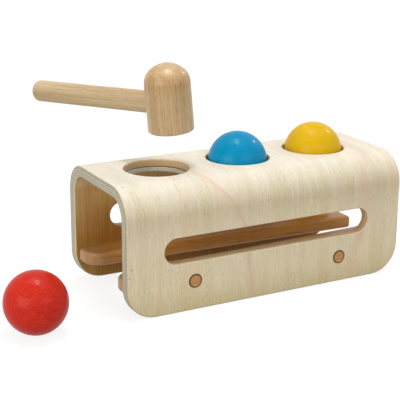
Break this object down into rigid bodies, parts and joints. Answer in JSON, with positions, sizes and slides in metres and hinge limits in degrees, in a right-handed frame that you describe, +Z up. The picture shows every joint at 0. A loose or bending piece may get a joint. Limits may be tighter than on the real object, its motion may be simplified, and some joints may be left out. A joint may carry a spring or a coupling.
{
  "type": "ball pounding bench",
  "caption": "Bent plywood pounding bench with holes and soft rings in its top, slotted walls, tapering track boards inside, wooden balls and a domed mallet.",
  "frame": {"origin": "on the floor, at the centre of the bench's footprint", "axes": "+X along the bench, from the open end where balls roll out to the other end; -Y is the front wall; +Z up, out of the holes"},
  "size_m": [0.3537, 0.1963, 0.1908],
  "materials": {
    "pale_plywood": "satin clear lacquer on bent plywood",
    "track_wood": "satin clear lacquer",
    "plug_wood": "sanded and lacquered",
    "screw_steel": "bright",
    "ring_rubber": "matte",
    "red_paint": "glossy paint on turned wood",
    "blue_paint": "glossy paint on turned wood",
    "yellow_paint": "glossy paint on turned wood",
    "mallet_wood": "turned and lacquered",
    "handle_wood": "turned and lacquered"
  },
  "bodies": {
    "bench": {"plywood_shell": "pale_plywood", "front_track_board": "track_wood", "back_track_board": "track_wood", "front_left_plug": "plug_wood", "front_right_plug": "plug_wood", "back_left_plug": "plug_wood", "back_right_plug": "plug_wood", "front_left_screw": "screw_steel", "front_right_screw": "screw_steel", "back_left_screw": "screw_steel", "back_right_screw": "screw_steel", "left_ring": "ring_rubber", "centre_ring": "ring_rubber", "right_ring": "ring_rubber"},
    "red_ball": {"red_ball": "red_paint"},
    "blue_ball": {"blue_ball": "blue_paint"},
    "yellow_ball": {"yellow_ball": "yellow_paint"},
    "mallet": {"mallet_head": "mallet_wood", "mallet_handle": "handle_wood"}
  },
  "joints": [
    {"name": "red_ball_roll", "type": "slide", "parent": "bench", "child": "red_ball", "axis": [-1, 0, 0], "range_m": [-0.042, 0.06]},
    {"name": "blue_ball_drop", "type": "slide", "parent": "bench", "child": "blue_ball", "axis": [0, 0, -1], "range_m": [0, 0.0557], "deforming": ["centre_ring"]},
    {"name": "yellow_ball_drop", "type": "slide", "parent": "bench", "child": "yellow_ball", "axis": [0, 0, -1], "range_m": [0, 0.0528], "deforming": ["right_ring"]},
    {"name": "mallet_stroke", "type": "slide", "parent": "bench", "child": "mallet", "axis": [0, 0, -1], "range_m": [-0.03, 0.025]}
  ]
}
